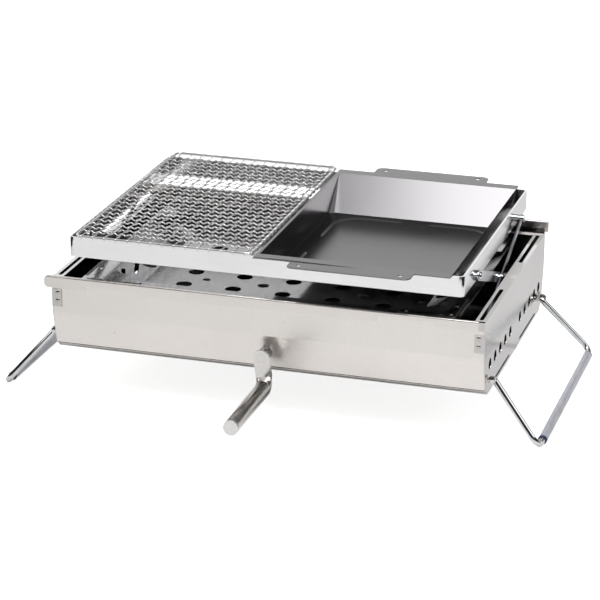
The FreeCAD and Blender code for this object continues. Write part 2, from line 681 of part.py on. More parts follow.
def make_pivot_bushings():
    """Flanged bushings on the end panels for the rear cross shaft."""
    y, z = LIFT_HALF_SPAN, LIFT_BASE_Z
    base = box(INNER_LENGTH - BRACKET_SHEET, INNER_LENGTH, y - BUSHING_FLANGE_HALF, y + BUSHING_FLANGE_HALF,
               z - BRACKET_HALF_HEIGHT, z + BRACKET_HALF_HEIGHT)
    back = INNER_LENGTH - BRACKET_SHEET
    barrel = rod(BUSHING_RADIUS, (BUSHING_FACE, y, z), (back, y, z))
    bore = rod(SHAFT_RADIUS + RUNNING_GAP, (BUSHING_FACE - 1, y, z), (back, y, z))
    return both_ends(cut(fuse(base, barrel), [bore]))


def make_slide_brackets():
    """Slotted guides on the end panels for the front cross shaft."""
    y = -LIFT_HALF_SPAN + sum(SLIDE_TRAVEL) / 2
    half_run = (SLIDE_TRAVEL[1] - SLIDE_TRAVEL[0]) / 2 + SHAFT_RADIUS
    z = LIFT_BASE_Z
    half_length = half_run + BRACKET_MARGIN
    block = box(BRACKET_FACE, INNER_LENGTH, y - half_length, y + half_length,
                z - BRACKET_HALF_HEIGHT, z + BRACKET_HALF_HEIGHT)
    groove = slot("x", BRACKET_FACE - 1, INNER_LENGTH - BRACKET_SHEET, y, z, half_run,
                  SHAFT_RADIUS + 2 * RUNNING_GAP)
    return both_ends(cut(block, [groove]))


# ---- crank and screw ----
def make_crank_screw():
    """Round screw with a collar behind the bearing and a square end outside the front wall."""
    front = CRANK_PLATE_Y[0]
    square_end = front + SQUARE_LENGTH
    shank = rod(SCREW_RADIUS, (0, square_end - 1, SCREW_Z), (0, SCREW_REAR_END, SCREW_Z))
    collar = rod(SCREW_COLLAR, (0, COLLAR_Y, SCREW_Z), (0, COLLAR_Y + COLLAR_LENGTH, SCREW_Z))
    half = SQUARE_SHAFT / 2
    square = hang(box(-half, half, front, square_end, SCREW_Z - half, SCREW_Z + half))
    return at_screw(fuse(shank, collar, square))


def make_front_bearing():
    """Block riveted behind the front wall, its face leaning with the wall."""
    low, high = SCREW_Z - BEARING_HALF_HEIGHT, SCREW_Z + BEARING_HALF_HEIGHT
    back = FRONT_BEARING_BACK
    skin = SHEET / math.cos(math.atan2(WALL_FOOT_INSET, CREASE_Z - WALL_FOOT_Z)) + 0.02
    outline = [(-HALF_DEPTH + wall_inset(low) + skin, low), (-HALF_DEPTH + wall_inset(high) + skin, high),
               (back, high), (back, low)]
    bore = rod(SCREW_RADIUS + RUNNING_GAP, (0, -HALF_DEPTH, SCREW_Z), (0, back + 1, SCREW_Z))
    return at_screw(plate(outline, "x", -BEARING_HALF_WIDTH, BEARING_HALF_WIDTH).cut(bore))


def make_rear_bearing():
    """Upright bracket on the floor pan that holds the screw's far end."""
    y0, y1 = REAR_BEARING_Y
    half = BEARING_HALF_WIDTH
    upright = box(-half, half, y0, y1, SHEET, SCREW_Z + BEARING_HALF_HEIGHT)
    foot = box(-half, half, y0, y0 + BEARING_FOOT, SHEET, SHEET + BEARING_FOOT_THICK)
    bore = rod(SCREW_RADIUS + RUNNING_GAP, (0, y0 - 1, SCREW_Z), (0, y1 + 1, SCREW_Z))
    return at_screw(fuse(upright, foot).cut(bore))


def make_nut():
    """Hanging nut block: the front cross shaft runs through its top, the screw through its foot."""
    y = -LIFT_HALF_SPAN
    half = NUT_HALF_WIDTH
    y0, y1 = y - NUT_HALF_DEPTH, y + NUT_HALF_DEPTH
    block = box(-half, half, y0, y1, SCREW_Z - NUT_MARGINS[0], LIFT_BASE_Z + NUT_MARGINS[1])
    shaft_bore = rod(SHAFT_RADIUS + RUNNING_GAP, (-half - 1, y, LIFT_BASE_Z), (half + 1, y, LIFT_BASE_Z))
    screw_bore = rod(SCREW_RADIUS + RUNNING_GAP, (0, y0 - 1, SCREW_Z), (0, y1 + 1, SCREW_Z))
    return at_screw(cut(block, [shaft_bore, screw_bore]))


def hang(shape):
    """Turn a crank piece about the screw's axis to the angle at which it hangs."""
    turned_shape = shape.copy()
    turned_shape.rotate(V(0, 0, SCREW_Z), AXES["y"], -CRANK_HANG_DEG)
    return turned_shape


def at_screw(shape):
    """Move a piece built about the plane X = 0 to the screw's own plane."""
    return shape.translated(V(SCREW_X, 0, 0))


def oval(centre, direction, half_width, half_thick):
    """An oval section of the crank's tube, wide along X, square to a direction in Y and Z."""
    if half_width - half_thick < 0.01:
        return Part.Wire(Part.makeCircle(half_width, centre, direction))
    across = direction.cross(AXES["x"])
    curve = Part.Ellipse(centre + AXES["x"] * half_width, centre + across * half_thick, centre)
    return Part.Wire(curve.toShape())


def make_crank():
    """Crank handle: one tube, flattened where it takes the square shaft, bent forward into the
    grip, with a disc closing its end."""
    y0, y1 = CRANK_PLATE_Y
    half = CRANK_HALF_WIDTH
    tube = CRANK_TUBE_RADIUS
    axis_y = (y0 + y1) / 2
    flat_end = SCREW_Z - CRANK_FLAT_LENGTH
    low = SCREW_Z - CRANK_THROW
    flat = fuse(rod(half, (0, y0, SCREW_Z), (0, y1, SCREW_Z)), box(-half, half, y0, y1, flat_end, SCREW_Z))
    lean_x, lean_z = CRANK_BAR_LEAN
    tip = V(lean_x, axis_y - CRANK_BAR_LENGTH, low + lean_z)
    grip = tip - V(0, axis_y, low)
    grip.normalize()
    bar_start = V(0, axis_y - CRANK_BEND, low)
    half_way = V(0, axis_y - CRANK_BEND * 0.3, (flat_end + low) / 2)
    elbow = Part.makeLoft([
        oval(V(0, axis_y, flat_end + 1), V(0, 0, -1), half, (y1 - y0) / 2),
        oval(half_way, V(0, -1, -1).normalize(), (half + tube) / 2, tube * 0.62),
        oval(bar_start, grip, tube, tube),
    ], True)
    bar = Part.makeCylinder(tube, (tip - bar_start).Length, bar_start, grip)
    square = SQUARE_SHAFT / 2
    socket = box(-square, square, y0 - 1, y1 + 1, SCREW_Z - square, SCREW_Z + square)
    inner = tube - CRANK_TUBE_WALL
    bore_depth = CRANK_BAR_LENGTH * 0.8
    bore = Part.makeCylinder(inner, bore_depth, tip - grip * bore_depth, grip)
    handle = cut(fuse(flat, elbow, bar), [socket, bore])
    cap = fuse(Part.makeCylinder(tube, CRANK_CAP_THICK, tip, grip),
               Part.makeCylinder(inner, CRANK_PLUG_LENGTH, tip - grip * CRANK_PLUG_LENGTH, grip))
    return {"crank_handle": at_screw(hang(handle)), "crank_end_cap": at_screw(hang(cap))}


# ---- grate ----
def make_grate():
    """Ring of thick wire with two layers of thinner wires across it."""
    x0, x1 = GRATE_X
    y0, y1 = GRATE_Y
    z = FRAME_TOP + RING_RADIUS
    middle_x = (x0 + x1) / 2
    middle_y = (y0 + y1) / 2
    loop = [(middle_x, y0, z), (x1, y0, z), (x1, y1, z), (x0, y1, z), (x0, y0, z), (middle_x, y0, z)]
    ring = bent_rod(loop, RING_RADIUS, GRATE_CORNER)
    long_z = z + WIRE_RADIUS
    cross_z = z - WIRE_RADIUS
    inset = RING_RADIUS
    long_wires = []
    for i in range(ROWS):
        row = middle_y + MESH_PITCH * (i - (ROWS - 1) / 2)
        long_wires.append(rod(WIRE_RADIUS, (x0 + inset, row, long_z), (x1 - inset, row, long_z)))
    cross_wires = []
    for i in range(COLUMNS):
        column = middle_x + MESH_PITCH * (i - (COLUMNS - 1) / 2)
        cross_wires.append(rod(WIRE_RADIUS, (column, y0 + inset, cross_z), (column, y1 - inset, cross_z)))
    return ring, long_wires, cross_wires


# ---- griddle pan ----
def make_griddle():
    """Folded pan: leaning front and rear walls, upright sides, a flange and two hanging tabs."""
    top = FRAME_TOP + PAN_SHEET
    x0, x1 = PAN_X
    reach = PAN_FLANGE_HALF_DEPTH + PAN_TAB_REACH
    mouth = PAN_MOUTH_HALF_DEPTH
    floor = PAN_FLOOR_HALF_DEPTH
    upper = [(-reach, top), (-mouth, top), (-floor, PAN_FLOOR_Z),
             (floor, PAN_FLOOR_Z), (mouth, top), (reach, top)]
    body = bent_sheet(upper, PAN_SHEET, x0, x1, 1)
    low = PAN_FLOOR_Z - PAN_SHEET
    side = [(-mouth, top), (-floor, low), (floor, low), (mouth, top)]
    left_side = plate(side, "x", x0, x0 + PAN_SHEET)
    right_side = plate(side, "x", x1 - PAN_SHEET, x1)
    flange_half = PAN_FLANGE_HALF_DEPTH
    left_flange = box(x0 - PAN_LEFT_FLANGE, x0 + PAN_SHEET, -flange_half, flange_half, FRAME_TOP, top)
    pan = fuse(body, left_side, right_side, left_flange)
    middle = (x0 + x1) / 2
    corner_cuts = []
    beyond = reach + 5
    for sign in (-1, 1):
        tab_end = middle + sign * PAN_TAB_HALF_WIDTH
        outline = [(tab_end + sign * 200, flange_half), (tab_end + sign * 2, flange_half),
                   (tab_end, flange_half + 2), (tab_end, reach - PAN_TAB_CORNER),
                   (tab_end - sign * PAN_TAB_CORNER, reach), (tab_end - sign * PAN_TAB_CORNER, beyond),
                   (tab_end + sign * 200, beyond)]
        x_hole = tab_end - sign * PAN_TAB_HOLE_FROM_END
        y_hole = flange_half + PAN_TAB_REACH / 2
        hole = rod(PAN_TAB_HOLE, (x_hole, y_hole, top - 5), (x_hole, y_hole, top + 5))
        for tool in (plate(outline, "z", top - 20, top + 20), hole):
            corner_cuts += [tool, mirror_y(tool)]
    return cut(pan, corner_cuts)


# ---- legs ----
def make_leg():
    """Right-hand leg: one wire bent into a U, its ends turned outwards into the lugs."""
    (px, pz), (fx, fz) = LEG_PIVOT, LEG_FOOT
    path = []
    for side in (-1, 1):
        points = [(px, LEG_MIDDLE_Y + side * LEG_STUB_HALF, pz),
                  (px, LEG_MIDDLE_Y + side * LEG_PIVOT_HALF, pz),
                  (fx, LEG_MIDDLE_Y + side * LEG_FOOT_HALF, fz)]
        path += points if side < 0 else points[::-1]
    bends = [LEG_STUB_BEND, LEG_BEND, LEG_BEND, LEG_STUB_BEND]
    wire = bent_rod(path, LEG_WIRE, bends)
    heads = []
    for side in (-1, 1):
        end = (px, LEG_MIDDLE_Y + side * LEG_STUB_HALF, pz)
        heads.append(domed_head(LEG_WIRE, LEG_END_RISE, end, V(0, side, 0)))
    low, high = SLEEVE_Y
    sleeve = rod(SLEEVE_RADIUS, (fx, low, fz), (fx, high, fz))
    sleeve = sleeve.cut(rod(LEG_WIRE, (fx, low - 1, fz), (fx, high + 1, fz)))
    return fuse(wire, *heads), sleeve


def make_leg_lugs():
    """Folded lugs on the end panels: a plate and an ear with the hinge hole."""
    px, pz = LEG_PIVOT
    half = LUG_HALF_HEIGHT
    half_ear = LUG_PLATE / 2
    lugs = []
    for side in (-1, 1):
        ear_y = LEG_MIDDLE_Y + side * LUG_EAR_HALF
        plate_y = sorted((ear_y, ear_y + side * LUG_LENGTH))
        base = box(HALF_LENGTH, HALF_LENGTH + LUG_PLATE, *plate_y, pz - half, pz + half)
        ear = fuse(box(HALF_LENGTH, px, ear_y - half_ear, ear_y + half_ear, pz - half, pz + half),
                   rod(half, (px, ear_y - half_ear, pz), (px, ear_y + half_ear, pz)))
        hole = rod(LEG_WIRE + RUNNING_GAP, (px, ear_y - 3, pz), (px, ear_y + 3, pz))
        lugs += both_ends(fuse(base, ear).cut(hole))
    return lugs


def main():
    os.makedirs("parts", exist_ok=True)
    front_panel, rear_panel = make_walls()
    front_rail, rear_rail = make_rails()
    gussets, gusset_rivets = make_gussets()
    ring, long_wires, cross_wires = make_grate()
    leg_wire, sleeve = make_leg()
    nodes = {
        "front_panel": front_panel,
        "rear_panel": rear_panel,
        "right_end_panel": make_end_panel(False),
        "left_end_panel": mirror_x(make_end_panel(True)),
        "floor_pan": make_floor_pan(),
        "front_rail": front_rail,
        "rear_rail": rear_rail,
        "corner_rivets": make_corner_rivets(),
        "charcoal_tray": make_tray(),
        "tray_gussets": gussets,
        "gusset_rivets": gusset_rivets,
        "tray_supports": make_tray_supports(),
        "leg_lugs": make_leg_lugs(),
        "pivot_bushings": make_pivot_bushings(),
        "slide_brackets": make_slide_brackets(),
        "front_bearing": make_front_bearing(),
        "rear_bearing": make_rear_bearing(),
        "cooking_frame": make_frame(),
        "rear_frame_pins": make_rear_frame_pins(),
        "lead_screw": make_crank_screw(),
        "screw_nut": make_nut(),
        "grate_ring": ring,
        "grate_long_wires": long_wires,
        "grate_cross_wires": cross_wires,
        "griddle_pan": make_griddle(),
        "right_leg": leg_wire,
        "left_leg": mirror_x(leg_wire),
        "right_foot_sleeve": sleeve,
        "left_foot_sleeve": mirror_x(sleeve),
    }
    nodes.update(make_lift())
    nodes.update(make_crank())
    for name, solids in nodes.items():
        export(name, solids)


main()
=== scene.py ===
import math

import bmesh
import bpy
from mathutils import Matrix, Vector
from mathutils.geometry import tessellate_polygon


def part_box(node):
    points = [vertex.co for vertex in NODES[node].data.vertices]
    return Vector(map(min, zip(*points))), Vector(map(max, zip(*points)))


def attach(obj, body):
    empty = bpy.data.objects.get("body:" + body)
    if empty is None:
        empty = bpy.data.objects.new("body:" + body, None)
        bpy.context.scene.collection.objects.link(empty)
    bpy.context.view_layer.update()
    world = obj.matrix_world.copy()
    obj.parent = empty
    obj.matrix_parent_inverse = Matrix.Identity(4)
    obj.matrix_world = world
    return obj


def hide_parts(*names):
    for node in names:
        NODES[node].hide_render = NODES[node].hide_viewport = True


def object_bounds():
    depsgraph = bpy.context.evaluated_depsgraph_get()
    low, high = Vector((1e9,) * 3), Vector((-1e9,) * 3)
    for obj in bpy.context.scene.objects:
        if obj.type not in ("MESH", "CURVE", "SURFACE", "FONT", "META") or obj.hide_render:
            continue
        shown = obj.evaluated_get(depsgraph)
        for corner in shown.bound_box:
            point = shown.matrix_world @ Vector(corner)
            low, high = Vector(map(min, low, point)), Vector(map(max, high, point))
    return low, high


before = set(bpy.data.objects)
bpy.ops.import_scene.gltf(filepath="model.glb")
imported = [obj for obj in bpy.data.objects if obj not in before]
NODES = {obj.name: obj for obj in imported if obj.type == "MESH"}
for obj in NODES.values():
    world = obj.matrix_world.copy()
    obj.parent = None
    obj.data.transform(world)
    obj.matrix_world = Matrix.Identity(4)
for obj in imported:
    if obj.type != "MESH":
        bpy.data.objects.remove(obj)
cad_low, cad_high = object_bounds()
MM = 0.001


# ---------------------------------------------------------------- node building blocks
class Nodes:
    """A node tree under construction, with short calls for the nodes it needs."""

    def __init__(self, tree):
        self.tree = tree

    def node(self, kind, **settings):
        made = self.tree.nodes.new(kind)
        for key, value in settings.items():
            setattr(made, key, value)
        return made

    def link(self, source, target):
        self.tree.links.new(source, target)

    def feed(self, target, value):
        """Link an output to an input, or set the input to a colour or a number."""
        if isinstance(value, bpy.types.NodeSocket):
            self.link(value, target)
        elif isinstance(value, tuple):
            target.default_value = (*value, 1)
        else:
            target.default_value = value

    def ramp(self, source, *stops, interpolation="LINEAR"):
        """Remap a grey value; stops are (position, value)."""
        made = self.node("ShaderNodeValToRGB")
        made.color_ramp.interpolation = interpolation
        elements = made.color_ramp.elements
        while len(elements) < len(stops):
            elements.new(0.5)
        for element, (position, value) in zip(elements, stops):
            element.position = position
            element.color = (value, value, value, 1)
        self.link(source, made.inputs["Fac"])
        return made.outputs["Color"]

    def mix(self, factor, a, b, blend="MIX"):
        made = self.node("ShaderNodeMix", data_type="RGBA", blend_type=blend)
        colour_a, colour_b = made.inputs[6], made.inputs[7]
        for target, value in ((made.inputs["Factor"], factor), (colour_a, a), (colour_b, b)):
            self.feed(target, value)
        return made.outputs[2]

    def maths(self, operation, *values):
        made = self.node("ShaderNodeMath", operation=operation)
        for target, value in zip(made.inputs, values):
            self.feed(target, value)
        return made.outputs[0]

    def dot(self, a, b):
        made = self.node("ShaderNodeVectorMath", operation="DOT_PRODUCT")
        self.link(a, made.inputs[0])
        self.link(b, made.inputs[1])
        return made.outputs["Value"]


class Shader(Nodes):
    """A material whose surface is one Principled shader."""

    def __init__(self, name):
        self.material = bpy.data.materials.new(name)
        self.material.use_nodes = True
        super().__init__(self.material.node_tree)
        self.surface = self.tree.nodes["Principled BSDF"]

    def set(self, **values):
        """Set or link inputs of the surface, such as Base_Color."""
        for key, value in values.items():
            self.feed(self.surface.inputs[key.replace("_", " ")], value)

    def normal(self):
        return self.node("ShaderNodeNewGeometry").outputs["Normal"]

    def noise(self, scale, detail=3.0, stretch=(1, 1, 1)):
        place = self.node("ShaderNodeTexCoord")
        mapping = self.node("ShaderNodeMapping")
        mapping.inputs["Scale"].default_value = stretch
        self.link(place.outputs["Object"], mapping.inputs["Vector"])
        made = self.node("ShaderNodeTexNoise")
        made.inputs["Scale"].default_value = scale
        made.inputs["Detail"].default_value = detail
        self.link(mapping.outputs["Vector"], made.inputs["Vector"])
        return made.outputs["Fac"]

    def clouds(self, noise, tint, shade, low=0.3, high=0.7):
        """The tint, darkened by a factor of shade where the noise is low."""
        return self.mix(self.ramp(noise, (low, 0.0), (high, 1.0)), tuple(c * shade for c in tint), tint)

    def bump(self, height, strength, distance):
        made = self.node("ShaderNodeBump")
        made.inputs["Strength"].default_value = strength
        made.inputs["Distance"].default_value = distance
        self.link(height, made.inputs["Height"])
        self.link(made.outputs["Normal"], self.surface.inputs["Normal"])

    def rub_edges(self, colour, radius, amount, bare):
        """Lighten a colour to bare metal along sharp edges, where a surface is rubbed."""
        soft = self.node("ShaderNodeBevel", samples=4)
        soft.inputs["Radius"].default_value = radius
        edges = self.ramp(self.dot(soft.outputs["Normal"], self.normal()), (0.75, 1.0), (0.97, 0.0))
        return self.mix(self.maths("MULTIPLY", edges, amount), colour, bare)


# ---------------------------------------------------------------- finishes
BOX_MIDDLE = (0, 0, 0.06)
BARE_STEEL = (0.97, 0.95, 0.93)
BARE_ENAMEL = (0.55, 0.55, 0.56)
HEAT_SPOT = (0.45, 0.36, 0.28)
# painted sheen: a pale non-metal colour for level faces on top, so they show bright under the top light
TOP_SHEEN = (0.93, 0.91, 0.90)
# painted shade: the next two colours darken faces that look into the box, the second and darker one inside
# the floor pan
INSIDE_SHADE = (0.20, 0.19, 0.185)
PAN_FLOOR_SHADE = (0.07, 0.068, 0.065)
GRAIN_ALONG = (1, 40, 40)      # noise scales that leave lines along X
GRAIN_ACROSS = (40, 1, 40)     # and along Y


def facing_in(s):
    """1 on the faces of the box that look towards its middle, and 0 elsewhere."""
    place = s.node("ShaderNodeTexCoord")
    from_middle = s.node("ShaderNodeVectorMath", operation="SUBTRACT")
    s.link(place.outputs["Object"], from_middle.inputs[0])
    from_middle.inputs[1].default_value = BOX_MIDDLE
    return s.maths("LESS_THAN", s.dot(from_middle.outputs[0], s.normal()), -0.02)


def sheet_steel(name, tint, rough, grain, rub, bump, spots=0.0, inside=None, top_sheen=0.0):
    """Rolled stainless sheet: grain along one way, cloudy haze, rubbed edges.

    spots adds small heat marks, inside paints shade on the faces that look into the box, and the
    last argument paints a sheen on level faces on top, turning them from bright metal to a pale non-metal
    colour.
    """
    s = Shader(name)
    cloud = s.noise(6.0, 4.0)
    line = s.noise(30.0, 3.0, grain)
    fine = s.noise(240.0, 2.0, grain)
    colour = s.clouds(cloud, tint, 0.92)
    colour = s.mix(0.18, colour, s.ramp(line, (0.25, 0.75), (0.75, 1.0)), "MULTIPLY")
    if spots:
        speck = s.ramp(s.noise(95.0, 1.0), (0.78, 0.0), (0.8, 1.0))
        colour = s.mix(s.maths("MULTIPLY", speck, spots), colour, HEAT_SPOT)
    colour = s.rub_edges(colour, 1.2 * MM, rub, BARE_STEEL)
    # painted shade: faces that look into the box take the inside colour, darker still where the clouds are
    # low
    if inside:
        colour = s.mix(facing_in(s), colour, s.mix(cloud, tuple(c * 0.7 for c in inside), inside))
    metal = 1.0
    # painted sheen: level faces on top turn pale and non-metal, bright where the top light falls
    if top_sheen:
        split = s.node("ShaderNodeSeparateXYZ")
        s.link(s.normal(), split.inputs[0])
        dulled = s.maths("MULTIPLY", s.maths("GREATER_THAN", split.outputs["Z"], 0.9), top_sheen)
        colour = s.mix(dulled, colour, TOP_SHEEN)
        metal = s.maths("SUBTRACT", 1.0, dulled)
    haze = s.ramp(cloud, (0.3, rough * 0.85), (0.7, rough * 1.2))
    brushed = s.ramp(fine, (0.3, rough * 0.7), (0.7, rough * 1.35))
    s.set(Base_Color=colour, Metallic=metal, Roughness=s.mix(0.5, haze, brushed))
    s.bump(s.mix(0.4, fine, line), bump, 0.2 * MM)
    return s.material


def chrome(name, tint, rough):
    """Plated wire or turned metal: nearly a mirror, with a faint ripple and dulled patches."""
    s = Shader(name)
    patch = s.noise(45.0, 3.0)
    s.set(Metallic=1.0, Base_Color=s.clouds(patch, tint, 0.86, 0.35, 0.65),
          Roughness=s.ramp(patch, (0.3, rough * 0.7), (0.75, rough * 2.0)))
    s.bump(s.noise(500.0, 2.0), 0.1, 0.1 * MM)
    return s.material


def enamel(name, tint, rough):
    """Dark, metallic baked coating over pressed steel, with worn edges."""
    s = Shader(name)
    cloud = s.noise(9.0, 3.0)
    colour = s.rub_edges(s.clouds(cloud, tint, 0.85, 0.1, 0.9), 0.8 * MM, 0.35, BARE_ENAMEL)
    s.set(Metallic=1.0, Coat_Weight=0.08, Coat_Roughness=0.12, Base_Color=colour,
          Roughness=s.ramp(cloud, (0.1, rough * 0.85), (0.9, rough * 1.1)))
    s.bump(s.noise(250.0, 2.0), 0.02, 0.1 * MM)
    return s.material


def sleeve_vinyl(name, tint):
    """Soft tinted tube that lets a little light through, streaked along its length."""
    s = Shader(name)
    streak = s.noise(40.0, 3.0, (8, 1, 8))
    s.set(Roughness=0.28, Transmission_Weight=0.35, IOR=1.46, Coat_Weight=0.3,
          Base_Color=s.clouds(streak, tint, 0.8, 0.35, 0.65))
    s.bump(streak, 0.2, 0.2 * MM)
    return s.material


def floor_paint(name):
    """White paper that glows a little to the camera alone, so that shadows on it stay faint."""
    s = Shader(name)
    seen = s.node("ShaderNodeLightPath").outputs["Is Camera Ray"]
    clouds = s.ramp(s.noise(2.0, 2.0), (0.3, 0.0), (0.7, 1.0))
    s.set(Base_Color=s.mix(clouds, (0.95, 0.95, 0.95), (0.97, 0.97, 0.97)), Roughness=0.6,
          Emission_Color=(1, 1, 1), Emission_Strength=s.maths("MULTIPLY", seen, 0.75))
    return s.material


def flag_cloth(name):
    """Black cloth that shows only in reflections."""
    s = Shader(name)
    s.set(Base_Color=s.mix(s.noise(60.0, 2.0), (0.01, 0.01, 0.01), (0.02, 0.02, 0.02)), Roughness=0.9)
    return s.material


# painted shade on the faces that look into the box
BOX_STEEL = sheet_steel("box_steel", (0.89, 0.85, 0.82), 0.26, GRAIN_ALONG, rub=0.3, bump=0.12,
                        spots=0.5, inside=INSIDE_SHADE)
RAIL_STEEL = sheet_steel("rail_steel", (0.84, 0.80, 0.77), 0.22, GRAIN_ALONG, rub=0.3, bump=0.12, spots=0.3)
# painted shade on the inside faces, and a painted sheen on level faces on top
END_STEEL = sheet_steel("end_steel", (0.64, 0.62, 0.61), 0.11, GRAIN_ACROSS, rub=0.3, bump=0.05,
                        inside=INSIDE_SHADE, top_sheen=0.75)
# painted shade, nearly black, on the floor pan's inside faces
FLOOR_STEEL = sheet_steel("floor_steel", (0.82, 0.79, 0.77), 0.22, GRAIN_ALONG, rub=0.2, bump=0.1,
                          inside=PAN_FLOOR_SHADE)
TRAY_STEEL = sheet_steel("tray_steel", (0.52, 0.52, 0.53), 0.12, (1, 30, 30), rub=0.3, bump=0.04)
FRAME_PLATE = sheet_steel("frame_plate", (0.94, 0.94, 0.95), 0.13, (1, 12, 12), rub=0.2, bump=0.03)
ARM_STEEL = sheet_steel("arm_steel", (0.72, 0.73, 0.77), 0.16, (30, 1, 30), rub=0.3, bump=0.06)
BRACKET_STEEL = sheet_steel("bracket_steel", (0.36, 0.36, 0.37), 0.22, (30, 1, 30), rub=0.3, bump=0.06)
CRANK_STEEL = sheet_steel("crank_steel", (0.80, 0.78, 0.75), 0.17, (30, 3, 30), rub=0.25, bump=0.1)
CAP_FACE = sheet_steel("cap_face", (0.90, 0.89, 0.88), 0.35, (20, 20, 20), rub=0.3, bump=0.1)
MESH_CHROME = chrome("mesh_chrome", (0.90, 0.90, 0.90), 0.12)
LEG_CHROME = chrome("leg_chrome", (0.80, 0.81, 0.82), 0.06)
FASTENER = chrome("fastener_steel", (0.70, 0.64, 0.56), 0.2)
SHAFT_STEEL = chrome("shaft_steel", (0.30, 0.29, 0.29), 0.3)
BRASS = chrome("nut_brass", (0.55, 0.43, 0.24), 0.25)
GRIDDLE = enamel("griddle_enamel", (0.215, 0.21, 0.215), 0.24)
SLEEVE = sleeve_vinyl("sleeve_vinyl", (0.78, 0.79, 0.86))
SLEEVE_END = sleeve_vinyl("sleeve_end", (0.06, 0.08, 0.22))

FINISHES = {
    BOX_STEEL: ["front_panel", "rear_panel"],
    RAIL_STEEL: ["front_rail", "rear_rail", "leg_lugs"],
    END_STEEL: ["right_end_panel", "left_end_panel"],
    FLOOR_STEEL: ["floor_pan"],
    TRAY_STEEL: ["charcoal_tray", "tray_gussets"],
    FRAME_PLATE: ["cooking_frame"],
    ARM_STEEL: ["inner_arm_right", "inner_arm_left", "outer_arm_right", "outer_arm_left"],
    BRACKET_STEEL: ["slide_brackets", "pivot_bushings", "tray_supports", "front_bearing", "rear_bearing"],
    CRANK_STEEL: ["crank_handle", "lead_screw"],
    CAP_FACE: ["crank_end_cap"],
    LEG_CHROME: ["right_leg", "left_leg", "middle_pins", "slide_bolts", "rear_frame_pins"],
    MESH_CHROME: ["grate_ring", "grate_long_wires", "grate_cross_wires"],
    FASTENER: ["corner_rivets", "gusset_rivets"],
    SHAFT_STEEL: ["rear_cross_shaft", "front_cross_shaft"],
    BRASS: ["screw_nut"],
    GRIDDLE: ["griddle_pan"],
    SLEEVE: ["right_foot_sleeve", "left_foot_sleeve"],
}
EDGE = 0.25
WIDER_EDGES = {"crank_handle": 0.6, "cooking_frame": 0.4, "crank_end_cap": 0.4}
# round wires and shafts, and arms and pins that turn close to a neighbour, keep their CAD faces
SHARP = ("right_leg", "left_leg", "grate_ring", "rear_cross_shaft", "front_cross_shaft", "rear_frame_pins",
         "outer_arm_right", "outer_arm_left")


def dress(node, material):
    """Give a CAD piece its finish and slightly broken edges."""
    piece = NODES[node]
    piece.data.materials.clear()
    piece.data.materials.append(material)
    if node in SHARP:
        return
    weld = piece.modifiers.new("weld", "WELD")
    weld.merge_threshold = 0.01 * MM
    flat = piece.modifiers.new("flat_faces", "DECIMATE")
    flat.decimate_type = "DISSOLVE"
    flat.angle_limit = math.radians(0.5)
    bevel = piece.modifiers.new("edges", "BEVEL")
    bevel.width = WIDER_EDGES.get(node, EDGE) * MM
    bevel.segments = 2
    bevel.limit_method = "ANGLE"
    bevel.angle_limit = math.radians(38)
    bevel.harden_normals = True


for material, members in FINISHES.items():
    for member in members:
        dress(member, material)


# ---------------------------------------------------------------- mesh building blocks
def new_piece(name, mesh_data, body, material, slot, *stands_for):
    piece = bpy.data.objects.new(name, mesh_data)
    bpy.context.scene.collection.objects.link(piece)
    piece.data.materials.append(material)
    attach(piece, body)
    if stands_for:
        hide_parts(*stands_for)
    return piece


def sweep(built, points, radius, sides=8):
    """Add a closed round tube along a list of points to a bmesh."""
    rings = []
    normal = None
    for i, point in enumerate(points):
        ahead = points[min(i + 1, len(points) - 1)] - points[max(i - 1, 0)]
        ahead.normalize()
        if normal is None:
            normal = ahead.orthogonal().normalized()
        normal = (normal - ahead * normal.dot(ahead)).normalized()
        across = ahead.cross(normal)
        ring = []
        for k in range(sides):
            angle = 2 * math.pi * k / sides
            offset = normal * math.cos(angle) + across * math.sin(angle)
            ring.append(built.verts.new(point + offset * radius))
        rings.append(ring)
    for low, high in zip(rings, rings[1:]):
        for k in range(sides):
            built.faces.new((low[k], low[(k + 1) % sides], high[(k + 1) % sides], high[k]))
    built.faces.new(rings[0][::-1])
    built.faces.new(rings[-1])


def smooth_mesh(built, name):
    """Turn a finished bmesh into a smooth-shaded mesh whose faces look outwards."""
    bmesh.ops.recalc_face_normals(built, faces=built.faces)
    return to_mesh(built, name)


def to_mesh(built, name):
    data = bpy.data.meshes.new(name)
    built.to_mesh(data)
    built.free()
    data.shade_smooth()
    return data


# ---------------------------------------------------------------- woven grate
MESH_PITCH = 16.4 * MM
LONG_WIRES, CROSS_WIRES = 23, 15
LONG_CREST, CROSS_CREST = 1.35 * MM, 0.55 * MM
WIRE_RADIUS = 0.9 * MM
CRIMPS_PER_CELL = 1.5
POINTS_PER_CRIMP = 8
HOOK = [math.radians(degrees) for degrees in (40, 70, 100, 130, 160)]


